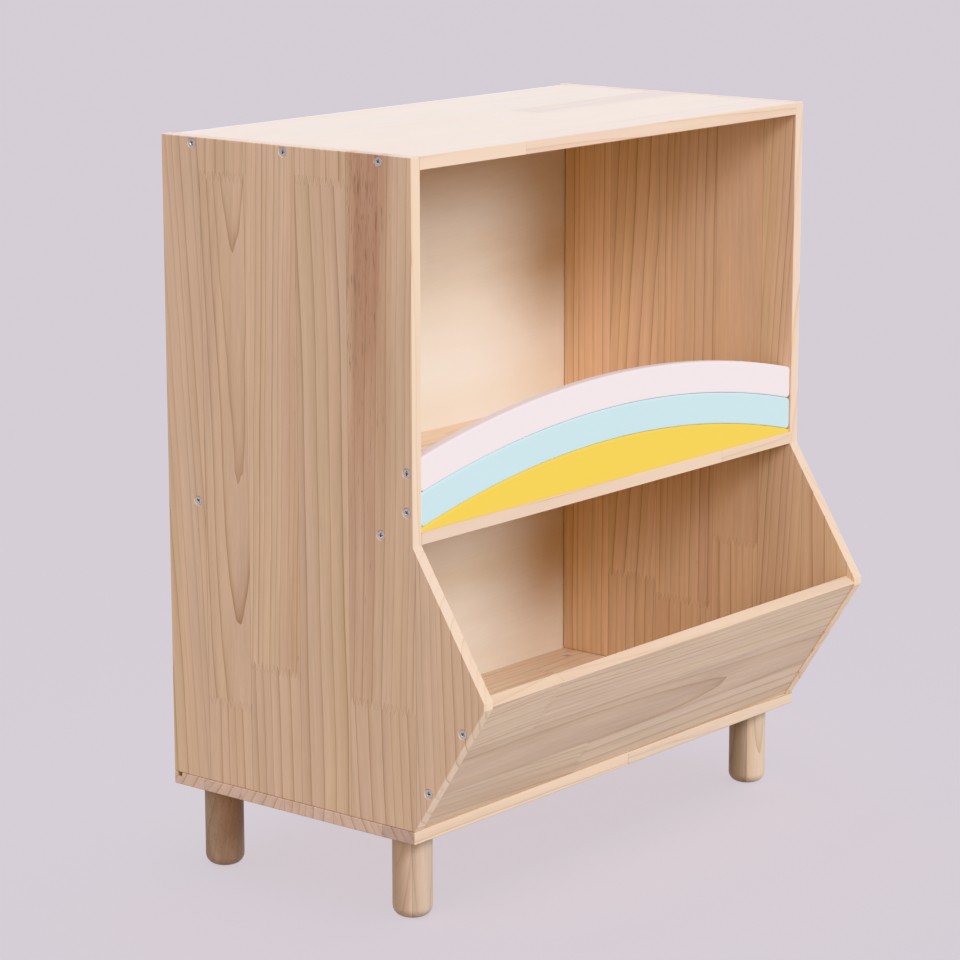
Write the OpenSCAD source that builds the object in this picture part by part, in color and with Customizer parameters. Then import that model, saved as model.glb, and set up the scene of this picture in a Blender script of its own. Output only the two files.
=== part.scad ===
// Open storage cabinet for a child's room: two flared side panels, a shelf
// behind a three-piece rainbow, a tilted bin below and four turned legs.
// The front faces -Y and the origin is on the floor, under the middle.

/* [Carcass] */
// Width over the two side panels
cabinet_w = 600; // [480:10:800]
// Depth of the side panels above the bin
cabinet_d = 300; // [260:5:380]
// Height of the side panels
side_h = 607; // [540:1:760]
// Thickness of the solid pine boards
board_t = 12; // [11:0.5:18]
// Bevel on the arrises of the boards
arris = 1; // [0.4:0.1:1.5]
// Gap between two boards that butt together
joint_gap = 0.1; // [0.05:0.05:0.3]

/* [Shelf and bin] */
// Height of the shelf's underside above the bottom board
shelf_h = 262.5; // [230:0.5:300]
// How far the nose of each side panel stands out at the front
nose_out = 81; // [60:1:110]
// Height of the middle of the nose above the bottom board
nose_h = 131; // [115:1:150]
// Height of the upright facet that cuts off the nose
nose_facet = 7; // [4:0.5:12]
// Set-back of the bin front from the sloping edges of the sides
bin_front_inset = 1.5; // [0:0.5:3]
// How far the bin front runs up past the nose's lower corner
bin_front_over = 2; // [0:0.5:4]

/* [Back panel] */
// Thickness of the plywood back panel
back_t = 5; // [3:0.5:6]
// Depth of the grooves in the sides and in the bottom board
groove_d = 4; // [3:0.5:6]
// Clearance between the back panel and each wall of its grooves
groove_gap = 0.25; // [0.1:0.05:0.5]
// Wood left behind the grooves
groove_lip = 4.5; // [3.5:0.5:8]
// How far the back panel's top edge lies below the top
back_drop = 0.5; // [0.2:0.1:2]

/* [Rainbow] */
// Thickness of the rainbow pieces, front to back
rainbow_t = 12; // [11:0.5:16]
// Set-back of the rainbow from the cabinet's front edges
rainbow_inset = 1.5; // [0:0.5:4]
// Width of each curved band
band_w = 31; // [26:1:36]
// Height of the inner piece at its two ends
segment_end_h = 2.5; // [2.2:0.1:5]
// Rise of the inner piece from its ends to its middle
segment_rise = 36.3; // [26:0.1:45]
// Rounding of the long edges of the rainbow pieces
rainbow_round = 2; // [0.5:0.5:2]
// Rounding of the corners at the ends of the two bands
band_corner_r = 4.5; // [2:0.5:7]

/* [Legs] */
// Diameter of a leg
leg_d = 37; // [32:1:42]
// Length of a leg
leg_l = 81; // [60:1:110]
// Rounding at the foot of a leg
leg_round = 10; // [5:1:13]
// Bevel round the top of a leg
leg_top_bevel = 0.8; // [0.4:0.1:2]
// Distance from a leg's axis to the end of the bottom board
leg_inset_x = 34; // [31:1:60]
// Distance from a leg's axis to the front or rear edge of the bottom board
leg_inset_y = 32; // [26:1:60]

/* [Screws] */
// Diameter of a countersunk head
head_d = 8.4; // [7:0.2:9]
// Height of the straight rim above the head's cone
head_rim = 0.2; // [0.1:0.1:0.4]
// Depth of the head below the wood's surface
head_sink = 0.5; // [0:0.1:0.8]
// Diameter of a shank
shank_d = 4; // [3:0.1:4.4]
// Length of the pointed tip
tip_l = 4; // [2:0.5:6]
// Clearance round a screw in its hole
screw_gap = 0.1; // [0.05:0.05:0.2]
// Length of a screw that joins two boards
screw_l = 40; // [32:1:50]
// Length of a screw that holds a leg
leg_screw_l = 50; // [40:1:58]
// Length of a screw that holds the inner rainbow piece
segment_screw_l = 30; // [24:1:34]
// Distance of the first and last screw from a side panel's edge
screw_inset = 38; // [30:1:60]
// Distance up the slope from the bottom board to the bin front's low screw
bin_screw_low = 42; // [30:1:60]
// Distance down the slope from the bin front's top edge to its high screw
bin_screw_high = 37; // [20:1:50]
// Height of the outer band's screw above the middle of the band's end
outer_screw_rise = 3.5; // [0:0.5:5]
// Distance of the inner rainbow piece's screws from its middle
segment_screw_x = 110; // [60:5:130]
// Length of each arm pair of the cross recess
recess_l = 4.8; // [3.5:0.1:5.5]
// Width of an arm of the cross recess
recess_w = 1.1; // [0.8:0.1:1.4]
// Depth of the cross recess
recess_d = 1.6; // [1:0.1:2]

/* [Hidden] */
// Planes of the carcass
half_w = cabinet_w / 2;
inner_half = half_w - board_t;
butt_half = inner_half - joint_gap;
front_y = (nose_out - cabinet_d) / 2;
back_y = front_y + cabinet_d;
mid_y = (front_y + back_y) / 2;
floor_z = leg_l + board_t;
side_z = floor_z + joint_gap;
top_z = floor_z + side_h;
shelf_z = floor_z + shelf_h;
shelf_top = shelf_z + board_t;

// Outline of a side panel, as two overlapping convex stretches of [y, z]
nose_y = front_y - nose_out;
nose_low_z = floor_z + nose_h - nose_facet / 2;
nose_top_z = nose_low_z + nose_facet;
lap = 2 * board_t;
lap_z = shelf_z + lap * (shelf_z - nose_top_z) / nose_out;
upright_outline = [
    [front_y, side_z],
    [back_y, side_z],
    [back_y, top_z],
    [front_y, top_z]
];
flare_outline = [
    [front_y + lap, side_z],
    [front_y, side_z],
    [nose_y, nose_low_z],
    [nose_y, nose_top_z],
    [front_y + lap, lap_z]
];

// Grooves for the back panel
groove_w = back_t + 2 * groove_gap;
groove_y = back_y - groove_lip - groove_w;
back_half = inner_half + groove_d - groove_gap;
back_low_z = floor_z - groove_d + groove_gap;

// Bin front: its slope in the y-z plane, and points measured from its foot
slope_angle = atan2(nose_low_z - floor_z, -nose_out);
slope_l = norm([nose_out, nose_low_z - floor_z]);
bin_front_l = slope_l + bin_front_over;
function on_slope(up, inward) = [
    front_y + up * cos(slope_angle) + inward * sin(slope_angle),
    floor_z + up * sin(slope_angle) - inward * cos(slope_angle)
];

// Rainbow: circles about one centre below the shelf
rainbow_y = front_y + rainbow_inset + rainbow_t / 2;
segment_r = (butt_half * butt_half + segment_rise * segment_rise) / (2 * segment_rise);
arc_z = shelf_top + segment_end_h + segment_rise - segment_r;
middle_r = segment_r + band_w;
outer_r = middle_r + band_w;
function arc_height(r, x) = arc_z + sqrt(r * r - x * x);
function band_end_z(r) = (arc_height(r, butt_half) + arc_height(r - band_w, butt_half)) / 2;

// Screw places: [y, z] on a side panel, [x, y] on the level boards
screw_ys = [front_y + screw_inset, mid_y, back_y - screw_inset];
shelf_screw_ys = [screw_ys[0], screw_ys[2]];
top_screw_places = [for (y = screw_ys) [y, top_z - board_t / 2]];
shelf_screw_places = [for (y = shelf_screw_ys) [y, shelf_z + board_t / 2]];
outer_screw_places = [[rainbow_y, band_end_z(outer_r) + outer_screw_rise]];
middle_screw_places = [[rainbow_y, band_end_z(middle_r)]];
bin_front_mid = bin_front_inset + board_t / 2;
bin_screw_places = [
    on_slope(bin_screw_low, bin_front_mid),
    on_slope(bin_front_l - bin_screw_high, bin_front_mid)
];
side_screw_places = concat(
    top_screw_places,
    shelf_screw_places,
    outer_screw_places,
    middle_screw_places,
    bin_screw_places
);
leg_x = half_w - leg_inset_x;
leg_front_y = front_y + leg_inset_y;
leg_rear_y = back_y - leg_inset_y;
leg_places = [for (x = [-leg_x, leg_x], y = [leg_front_y, leg_rear_y]) [x, y]];

// Screw shape
head_r = head_d / 2;
shank_r = shank_d / 2;
hole_r = shank_r + screw_gap;
cone_h = head_r - shank_r;
mouth_r = head_r + screw_gap + head_rim + head_sink;

// Cuts run this far past the faces they open
over = 1;

// General helpers

// Draws its children and their mirror image across the middle
module both_sides() {
    children();
    mirror([1, 0, 0]) children();
}

// Turns a drawing in y and z upright, with its thickness along +X
module upright() {
    rotate([90, 0, 90]) children();
}

// Plate over a convex outline, with bevelled arrises
module eased_plate(outline, t) {
    hull() {
        translate([0, 0, arris]) linear_extrude(t - 2 * arris) polygon(outline);
        linear_extrude(t) offset(delta = -arris) polygon(outline);
    }
}

// Section of a board, its two front arrises bevelled
module board_section(depth, t) {
    polygon([
        [0, arris], [arris, 0], [depth, 0],
        [depth, t], [arris, t], [0, t - arris]
    ]);
}

// Rectangle with round corners
module rounded_rectangle(w, h, r) {
    translate([r, 0]) square([w - 2 * r, h]);
    translate([0, r]) square([w, h - 2 * r]);
    for (x = [r, w - r], y = [r, h - r]) {
        translate([x, y]) circle(r, $fn = 16);
    }
}

// Screws and the holes they need

// Countersunk screw that points along +Z from the wood's surface
module screw(l) {
    difference() {
        translate([0, 0, head_sink])
            rotate_extrude($fn = 24)
                polygon([
                    [0, 0], [head_r, 0], [head_r, head_rim],
                    [shank_r, head_rim + cone_h], [shank_r, l - tip_l], [0, l]
                ]);
        for (a = [0, 90]) {
            rotate([0, 0, a])
                translate([-recess_l / 2, -recess_w / 2, head_sink - over])
                    cube([recess_l, recess_w, recess_d + over]);
        }
    }
}

// Countersunk hole for that screw
module screw_hole(l) {
    translate([0, 0, -over])
        cylinder(h = head_sink + head_rim + cone_h + over, r1 = mouth_r + over, r2 = hole_r, $fn = 24);
    cylinder(h = head_sink + l + screw_gap, r = hole_r, $fn = 24);
}

// Children at places on the left side panel's outer face, pointing inward
module from_left(places) {
    for (p = places) {
        translate([-half_w, p[0], p[1]]) rotate([0, 90, 0]) children();
    }
}

// Children at places on both side panels
module from_sides(places) {
    both_sides() from_left(places) children();
}

// Children on the shelf's underside, pointing up into the inner piece
module under_segment() {
    for (x = [-segment_screw_x, segment_screw_x]) {
        translate([x, rainbow_y, shelf_z]) children();
    }
}

// Children on the bottom board's underside, pointing up into the sides
module under_sides() {
    both_sides() {
        for (y = screw_ys) {
            translate([-half_w + board_t / 2, y, leg_l]) children();
        }
    }
}

// Children on the bin's floor, pointing down into the legs
module over_legs() {
    for (p = leg_places) {
        translate([p[0], p[1], floor_z]) rotate([180, 0, 0]) children();
    }
}

// Carcass

module side_panel() {
    difference() {
        translate([-half_w, 0, 0]) upright() {
            eased_plate(upright_outline, board_t);
            eased_plate(flare_outline, board_t);
        }
        translate([-inner_half - groove_d, groove_y, floor_z - over])
            cube([groove_d + over, groove_w, side_h + 2 * over]);
        from_left(side_screw_places) screw_hole(screw_l);
        under_sides() screw_hole(screw_l);
    }
}

module left_side_panel() {
    color("burlywood") side_panel();
}

module right_side_panel() {
    color("burlywood") mirror([1, 0, 0]) side_panel();
}

// Board between the sides, from the front edge back to the back panel
module level_board(z) {
    translate([-butt_half, front_y, z])
        upright() linear_extrude(2 * butt_half) board_section(groove_y - front_y, board_t);
}

module top_board() {
    color("bisque") difference() {
        level_board(top_z - board_t);
        from_sides(top_screw_places) screw_hole(screw_l);
    }
}

module middle_shelf() {
    color("bisque") difference() {
        level_board(shelf_z);
        from_sides(shelf_screw_places) screw_hole(screw_l);
        under_segment() screw_hole(segment_screw_l);
    }
}

module bottom_board() {
    color("burlywood") difference() {
        translate([0, 0, leg_l])
            eased_plate([
                [-half_w, front_y], [half_w, front_y],
                [half_w, back_y], [-half_w, back_y]
            ], board_t);
        translate([-half_w - over, groove_y, floor_z - groove_d])
            cube([cabinet_w + 2 * over, groove_w, groove_d + over]);
        under_sides() screw_hole(screw_l);
        over_legs() screw_hole(leg_screw_l);
    }
}

module back_panel() {
    color("antiquewhite")
        translate([-back_half, groove_y + groove_gap, back_low_z])
            cube([2 * back_half, back_t, top_z - back_drop - back_low_z]);
}

module bin_front_panel() {
    color("tan") difference() {
        translate([-butt_half, 0, 0]) upright() linear_extrude(2 * butt_half)
            intersection() {
                translate(on_slope(bin_front_l, bin_front_inset + board_t))
                    rotate(slope_angle + 180)
                        mirror([0, 1]) board_section(bin_front_l + 2 * board_t, board_t);
                translate([nose_y - over, side_z]) square([cabinet_d, shelf_h]);
            }
        from_sides(bin_screw_places) screw_hole(screw_l);
    }
}

// Rainbow

// Bent bar of rectangular section with round long edges
module bent_bar(r_in, r_out) {
    span = 2 * asin(butt_half / r_in) + 4;
    translate([0, rainbow_y, arc_z])
        rotate([90, 0, 0])
            rotate([0, 0, 90 - span / 2])
                rotate_extrude(angle = span, $fn = 240)
                    translate([r_in, -rainbow_t / 2])
                        rounded_rectangle(r_out - r_in, rainbow_t, rainbow_round);
}

// Waste outside a round corner at the right-hand end: side is 1 above, -1 below
module corner_waste(r, side) {
    corner_x = butt_half - band_corner_r;
    translate([corner_x, arc_height(r, corner_x) - side * band_corner_r])
        difference() {
            translate([0, side > 0 ? 0 : -2 * band_corner_r])
                square([band_corner_r + over, 2 * band_corner_r]);
            circle(band_corner_r, $fn = 48);
        }
}

// Band of the rainbow, cut square and rounded at both ends
module band(r_out) {
    r_in = r_out - band_w + joint_gap;
    end_z = arc_height(r_in, butt_half);
    crown_z = arc_height(r_out, 0);
    intersection() {
        bent_bar(r_in, r_out);
        translate([0, rainbow_y + rainbow_t, 0]) rotate([90, 0, 0]) linear_extrude(2 * rainbow_t)
            difference() {
                translate([-butt_half, end_z - over])
                    square([2 * butt_half, crown_z - end_z + 2 * over]);
                both_sides() {
                    corner_waste(r_out, 1);
                    corner_waste(r_in, -1);
                }
            }
    }
}

module rainbow_outer_arc() {
    color("lavenderblush") difference() {
        band(outer_r);
        from_sides(outer_screw_places) screw_hole(screw_l);
    }
}

module rainbow_middle_arc() {
    color("paleturquoise") difference() {
        band(middle_r);
        from_sides(middle_screw_places) screw_hole(screw_l);
    }
}

module rainbow_inner_segment() {
    segment_h = segment_end_h + segment_rise;
    color("gold") difference() {
        intersection() {
            bent_bar(segment_r - 2 * segment_h, segment_r);
            translate([-butt_half, rainbow_y - rainbow_t, shelf_top + joint_gap])
                cube([2 * butt_half, 2 * rainbow_t, segment_h]);
        }
        under_segment() screw_hole(segment_screw_l);
    }
}

// Legs

// Turned leg with a rounded foot and a pilot hole in its top
module leg(place) {
    color("tan") translate([place[0], place[1], 0]) difference() {
        rotate_extrude($fn = 64) {
            difference() {
                square([leg_d / 2, leg_l - joint_gap]);
                translate([leg_d / 2 - leg_round, 0]) square(leg_round);
                translate([leg_d / 2, leg_l - joint_gap])
                    rotate(45) square(leg_top_bevel * sqrt(2), center = true);
            }
            translate([leg_d / 2 - leg_round, leg_round])
                intersection() {
                    circle(leg_round, $fn = 48);
                    translate([0, -leg_round]) square(leg_round);
                }
        }
        translate([0, 0, floor_z]) rotate([180, 0, 0]) screw_hole(leg_screw_l);
    }
}

module front_left_leg() {
    leg([-leg_x, leg_front_y]);
}

module front_right_leg() {
    leg([leg_x, leg_front_y]);
}

module rear_left_leg() {
    leg([-leg_x, leg_rear_y]);
}

module rear_right_leg() {
    leg([leg_x, leg_rear_y]);
}

// Screws, one module for each row of them

module top_board_screws() {
    color("silver") from_sides(top_screw_places) screw(screw_l);
}

module shelf_screws() {
    color("silver") from_sides(shelf_screw_places) screw(screw_l);
}

module outer_arc_screws() {
    color("silver") from_sides(outer_screw_places) screw(screw_l);
}

module middle_arc_screws() {
    color("silver") from_sides(middle_screw_places) screw(screw_l);
}

module inner_segment_screws() {
    color("silver") under_segment() screw(segment_screw_l);
}

module bin_front_screws() {
    color("silver") from_sides(bin_screw_places) screw(screw_l);
}

module bottom_board_screws() {
    color("silver") under_sides() screw(screw_l);
}

module leg_screws() {
    color("silver") over_legs() screw(leg_screw_l);
}

left_side_panel();
right_side_panel();
top_board();
middle_shelf();
bottom_board();
back_panel();
bin_front_panel();
rainbow_outer_arc();
rainbow_middle_arc();
rainbow_inner_segment();
front_left_leg();
front_right_leg();
rear_left_leg();
rear_right_leg();
top_board_screws();
shelf_screws();
outer_arc_screws();
middle_arc_screws();
inner_segment_screws();
bin_front_screws();
bottom_board_screws();
leg_screws();
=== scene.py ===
import math
import random

import bmesh
import bpy
from bpy.props import FloatProperty, FloatVectorProperty, IntProperty, PointerProperty
from mathutils import Matrix, Vector


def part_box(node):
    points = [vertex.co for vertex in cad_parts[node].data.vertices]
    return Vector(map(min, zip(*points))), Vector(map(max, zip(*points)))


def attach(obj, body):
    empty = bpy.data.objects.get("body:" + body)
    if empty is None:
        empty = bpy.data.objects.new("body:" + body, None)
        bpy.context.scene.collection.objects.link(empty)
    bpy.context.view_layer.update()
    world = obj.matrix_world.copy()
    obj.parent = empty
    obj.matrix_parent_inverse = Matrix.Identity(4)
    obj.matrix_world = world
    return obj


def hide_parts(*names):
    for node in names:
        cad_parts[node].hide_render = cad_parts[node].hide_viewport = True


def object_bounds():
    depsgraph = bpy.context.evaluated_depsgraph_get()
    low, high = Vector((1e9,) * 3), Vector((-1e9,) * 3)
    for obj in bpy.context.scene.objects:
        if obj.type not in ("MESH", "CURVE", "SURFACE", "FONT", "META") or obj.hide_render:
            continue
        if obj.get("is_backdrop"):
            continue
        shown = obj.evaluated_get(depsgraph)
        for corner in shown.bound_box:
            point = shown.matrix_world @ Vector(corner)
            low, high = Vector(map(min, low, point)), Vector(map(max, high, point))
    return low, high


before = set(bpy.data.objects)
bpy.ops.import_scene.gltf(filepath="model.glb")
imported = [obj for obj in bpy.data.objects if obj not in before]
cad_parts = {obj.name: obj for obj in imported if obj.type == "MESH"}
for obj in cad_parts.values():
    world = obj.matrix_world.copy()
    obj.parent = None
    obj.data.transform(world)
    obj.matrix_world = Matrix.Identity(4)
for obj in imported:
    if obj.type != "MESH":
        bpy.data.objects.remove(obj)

bl_info = {
    "name": "Rainbow storage cabinet",
    "version": (1, 0, 0),
    "blender": (4, 5, 0),
    "location": "3D View > Sidebar > Cabinet",
    "description": "Open pine cabinet with a painted rainbow, a tilted bin and turned legs",
    "category": "Object",
}

CAD_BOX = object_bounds()
BOX = {name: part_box(name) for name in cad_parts}
X_AXIS, Y_AXIS, Z_AXIS = Vector((1, 0, 0)), Vector((0, 1, 0)), Vector((0, 0, 1))

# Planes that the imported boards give, in metres
HALF_W = BOX["right_side_panel"][1].x
INNER_HALF = BOX["right_side_panel"][0].x
BUTT_HALF = BOX["top_board"][1].x
NOSE_Y = BOX["left_side_panel"][0].y
FRONT_Y = BOX["top_board"][0].y
GROOVE_Y = BOX["top_board"][1].y
GROOVE_BACK = BOX["back_panel"][1].y + (BOX["back_panel"][0].y - GROOVE_Y)
BACK_Y = BOX["bottom_board"][1].y
MID_Y = (FRONT_Y + BACK_Y) / 2
UNDER_Z = BOX["bottom_board"][0].z
FLOOR_Z = BOX["bottom_board"][1].z
SIDE_Z = BOX["left_side_panel"][0].z
SHELF_Z = BOX["middle_shelf"][0].z
SHELF_TOP = BOX["middle_shelf"][1].z
TOP_Z = BOX["top_board"][1].z
BOARD = TOP_Z - BOX["top_board"][0].z

MM = 1000  # millimetres in a metre
OVER = 0.001  # how far a cutter runs past the wood
NEAR = 0.001  # how near to a plane an edge counts as lying in it
NO_GLUE = 99  # mm to the next glue line where there is none
FLAT_SAWN = 0.25  # share of the random logs that are flat-sawn
LOG_START = (500, 3000)  # least and most mm up its log at which a piece was cut
LEG_SEED = 20  # seed of the first leg's wood
SCREW_STEPS, LEG_STEPS = 32, 64  # faces round a screw or its hole, and round a leg
FOOT_STEPS, SHAFT_STEPS, BEVEL_STEPS = 10, 8, 3  # faces up a leg's foot, its shaft and its bevel
ARRIS_STEPS = 3  # faces across a board's rounded arris
ROUND_STEPS, CORNER_STEPS = 6, 8  # faces round a rainbow piece's long edge, and a band's corner
ARC_STEPS, SEGMENT_STEPS = 40, 48  # faces along half of a band, and of the inner piece
RIM_EASE = (0.0002, 0.00012)  # easing of a screw head's rim, across and down
RECESS_TAPER = (0.45, 0.835)  # a recess's span and arm at its bottom, as shares of the top's
PLY_EASE = 0.15  # share of the boards' arris on the back panel's edges
PAPER_REACH = 60.0  # from the middle of the paper floor to its sides

# The wood of each board, as Grain takes it. The bin front's glue lines count from the slope's foot.
WOOD = {
    "left_side_panel": ((-0.112, -0.034, 0.0265, 0.0885, 0.143), (
        ((), (-90, -40, 30, 10, 8.0, 0.35, 0.1)),
        ((0.2035,), (-110, -40, 60, 0, 11.0, 0.5, 0.2), (75, -50, -20, 6, 7.0, 0.45, 0.15, 1.0)),
        ((0.671,), (72, -70, 20, 0, 12.5, 0.5, 0.1), (-40, -60, -20, 12, 6.0, 0.3, 0.1)),
        ((0.215,), (90, -30, 35, 0, 10.5, 0.4, 0.05), (-75, -45, -30, 0, 6.0, 0.2, 0.3)),
        ((0.173, 0.666), (60, 50, 30, 0, 9.0, 0.35, 0.1), (-14, -53.8, 0, 31.4, 5.0, 0.4, 0.05),
         (50, -60, 0, 20, 6.0, 0.35, 0.1)),
        ((), (110, -40, 65, 0, 9.5, 0.45, 0.1)),
    ), 1),
    "right_side_panel": ((-0.125, -0.0713, -0.0147, 0.0575, 0.12, 0.1615), (
        ((), (60, -60, 10, 0, 7.0, 0.4, 0.1)),
        ((), (-95, -40, -58, 0, 7.0, 0.5, 0.35)),
        ((0.244,), (80, -60, 0, 0, 8.0, 0.35, 0.1), (20, -90, 0, 0, 26.0, 0.15, 0.1)),
        ((0.171,), (60, -60, 10, 0, 7.0, 0.45, 0.15), (-95, -40, -12, 0, 8.0, 0.45, 0.15)),
        ((0.1875,), (-60, -50, 0, 0, 7.0, 0.45, 0.15), (120, -60, -66, 0, 10.5, 0.25, 0.1)),
        # The two rear staves are drawn lighter than the others: painted light on the rear of the
        # inner wall.
        ((), (-120, -30, 0, 0, 9.0, -0.3, 0.05)),
        ((), (90, -50, 0, 0, 9.0, -0.1, 0.1)),
    ), 2),
    "top_board": ((-0.066, -0.018, 0.027, 0.072, 0.125), (
        ((-0.14,), (-100, -50, 20, 0, 8.0, 0.3, 0.1), (35, -60, 30, 0, 7.0, 0.5, 0.3)),
        ((0.19,), (100, -40, 15, 0, 6.0, 0.2, 0.05), (-80, -50, 0, 0, 9.0, 0.8, 0.15)),
        ((), (-110, -40, -20, 0, 7.5, 0.15, 0.1)),
        ((0.053,), (90, -50, 0, 0, 6.0, 0.3, 0.1), (-45, -50, 40, 0, 12.0, 1.2, 0.6)),
        ((-0.21,), (80, -60, 30, 0, 8.0, 0.35, 0.1), (-110, -40, 0, 0, 9.5, 0.8, 0.15)),
        ((0.11,), (100, -40, -20, 0, 9.0, 0.3, 0.1), (-90, -50, 20, 0, 7.0, 0.5, 0.15)),
    ), 3),
    "middle_shelf": ((-0.058, 0.004, 0.061, 0.118), (
        ((0.17,), (-100, -40, 12, 0, 7.0, 1.1, 0.1), (90, -50, -20, 0, 8.0, 1.15, 0.1)),
        ((-0.09,), (95, -50, 20, 0, 8.0, 0.4, 0.1)),
        ((0.21,),),
        ((-0.2,),),
        ((0.06,), (-100, -50, 25, 0, 9.0, 0.5, 0.2)),
    ), 4),
    "bottom_board": ((-0.071, -0.012, 0.049, 0.104, 0.151), (
        # The front stave is drawn dark: painted shade on the bottom board's low front edge.
        ((0.02,), (-80, 55, 0, 0, 10.0, 1.4, 0.1), (90, 50, -12, 0, 9.0, 1.85, 0.1)),
        ((-0.18,), (-90, 45, 10, 0, 9.5, 0.35, 0.15)),
        ((0.12,), (100, 12, 0, 0, 10.5, 0.3, 0.1)),
        ((-0.06,), (95, 50, -15, 0, 10.0, 0.4, 0.15)),
        ((0.2,), (80, 60, 0, 0, 9.5, 0.35, 0.1), (90, -50, 20, 0, 8.0, 0.4, 0.1)),
        ((-0.13,), (90, 60, 10, 0, 10.0, 0.4, 0.15), (-100, -50, -30, 0, 7.0, 0.45, 0.15)),
    ), 5),
    # The bin front's staves are all drawn darker than the other boards': painted shade, since its
    # face tilts down, away from the light.
    "bin_front_panel": ((0.042, 0.096), (
        ((-0.07,), (-70, -50, -50, 0, 6.0, 1.45, 0.4), (-60, -60, 0, 8, 8.5, 1.35, 0.25)),
        ((), (-6, -44.7, 0, -16, 7.0, 1.5, 0.25)),
        ((-0.19,), (110, -30, 35, 0, 5.0, 1.15, 0.15), (100, -40, -15, 0, 5.5, 1.25, 0.2)),
    ), 8),
}
# The angle in degrees across each leg's glue line, and the logs of its two halves. The halves'
# darkness is partly their own tone and partly painted shade: on each front leg one half is drawn
# darker as its shaded side, and the rear left leg is drawn dark all round as painted shade under
# the cabinet.
LEG_WOOD = {
    "front_left_leg": (
        -50.7, (60, 40, 60, 30, 6.5, 0.2, 0.15), (50, -70, -40, 20, 6.0, 1.4, 0.1)),
    "front_right_leg": (
        -56, (70, 30, 40, 20, 7.0, 1.8, 0.4), (45, -60, -30, 20, 6.0, 0.5, 0.05)),
    "rear_left_leg": (
        12, (30, -50, 260, 120, 7.0, 1.85, 0.6), (40, -60, 240, 90, 7.5, 1.6, 0.5)),
    "rear_right_leg": (
        80, (60, 40, -50, 30, 6.5, 0.5, 0.1), (50, -70, 40, 20, 6.0, 0.4, 0.05)),
}


def srgb(code):
    """Linear RGB of an sRGB hex colour."""
    parts = [int(code[i:i + 2], 16) / 255 for i in (0, 2, 4)]
    return tuple(p / 12.92 if p <= 0.04045 else ((p + 0.055) / 1.055) ** 2.4 for p in parts)


def size(name, description, default, low=0.0001, high=0.1):
    """A size in metres for a property group."""
    return FloatProperty(
        name=name, description=description, default=default, min=low, max=high,
        precision=4, subtype="DISTANCE", unit="LENGTH",
    )


def colour(name, description, code):
    """A colour for a property group, from its sRGB hex value."""
    return FloatVectorProperty(
        name=name, description=description, default=srgb(code), size=3,
        min=0.0, max=1.0, subtype="COLOR",
    )


def number(name, description, default, high=1.0):
    """A number without a unit for a property group."""
    return FloatProperty(name=name, description=description, default=default, min=0.0, max=high)


def light(name, description, strength):
    """A light for a property group: its strength in red, green and blue."""
    return FloatVectorProperty(
        name=name, description=description, default=strength, size=3, min=0.0, max=20.0)


class CabinetSizes(bpy.types.PropertyGroup):
    """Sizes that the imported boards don't give."""
    nose_low: size("Nose, lower corner", "Height of the nose's lower corner", 0.2205, high=0.4)
    nose_high: size("Nose, upper corner", "Height of the nose's upper corner", 0.2275, high=0.4)
    arris: size("Rounded arris", "Radius sanded on the open edges of the boards", 0.001)
    seam_ease: size("Eased seam", "Small bevel where boards butt together", 0.0003)
    groove_depth: size("Groove depth", "Depth of the grooves for the back panel", 0.004)
    groove_play: size("Groove play", "Room in front of the back panel in the side grooves", 0.0008)
    bin_inset: size("Bin front set-back", "Set-back of the bin front from the slopes", 0.0015)
    bin_over: size("Bin front overrun", "Run of the bin front past the nose's lower corner", 0.002)
    finger_pitch: size("Finger pitch", "Width of one finger of a finger joint", 0.0024)
    finger_length: size("Finger length", "Length of the fingers of a finger joint", 0.009)
    paint_round: size("Rainbow rounding", "Rounding of the long edges of the rainbow pieces", 0.002)
    band_corner: size("Band corner", "Radius of the corners at the ends of the bands", 0.0045)
    band_width: size("Band width", "Width of each curved band with its gap", 0.031)
    band_gap: size("Band gap", "Gap between the rainbow pieces", 0.0001, low=0.0)
    segment_end: size("Inner piece, end height", "Height of the inner piece at its ends", 0.0025)
    segment_rise: size("Inner piece, rise", "Rise of the inner piece to its middle", 0.0363)
    leg_radius: size("Leg radius", "Radius of a turned leg", 0.0185)
    leg_foot: size("Leg foot rounding", "Rounding at the foot of a leg", 0.010)
    leg_bevel: size("Leg top bevel", "Bevel round the top of a leg", 0.0008)


class ScrewSizes(bpy.types.PropertyGroup):
    """Sizes of the countersunk screws and where they go."""
    head_radius: size("Head radius", "Radius of the countersunk head", 0.0042)
    rim: size("Head rim", "Upright rim of the head", 0.0002)
    sunk: size("Sunk depth", "Depth of the head below the wood", 0.0005)
    shank_radius: size("Shank radius", "Radius of the thread's crests", 0.002)
    clearance: size("Clearance", "Room round the screw in its hole", 0.0001)
    tip: size("Tip length", "Length of the pointed tip", 0.004)
    recess: size("Recess span", "Span of the cross recess", 0.0046)
    recess_arm: size("Recess arm width", "Width of an arm of the recess", 0.0013)
    recess_depth: size("Recess depth", "Depth of the recess", 0.0022)
    long: size("Board screw length", "Length of a screw that joins two boards", 0.040)
    leg: size("Leg screw length", "Length of a screw that holds a leg", 0.050)
    short: size("Rainbow screw length", "Length of a screw up into the inner piece", 0.030)
    spread: size("Row spread", "Outer screws from a board's middle", 0.112, high=0.14)
    bin_low: size("Bin, low screw", "Distance of the low screw up the slope", 0.042)
    bin_high: size("Bin, high screw", "Distance of the high screw from the top edge", 0.037)
    outer_rise: size("Outer band, screw", "Rise of the screw above the band end's middle", 0.0035)
    inner_spread: size("Inner piece, screws", "Its screws from the middle", 0.110, high=0.2)


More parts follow.
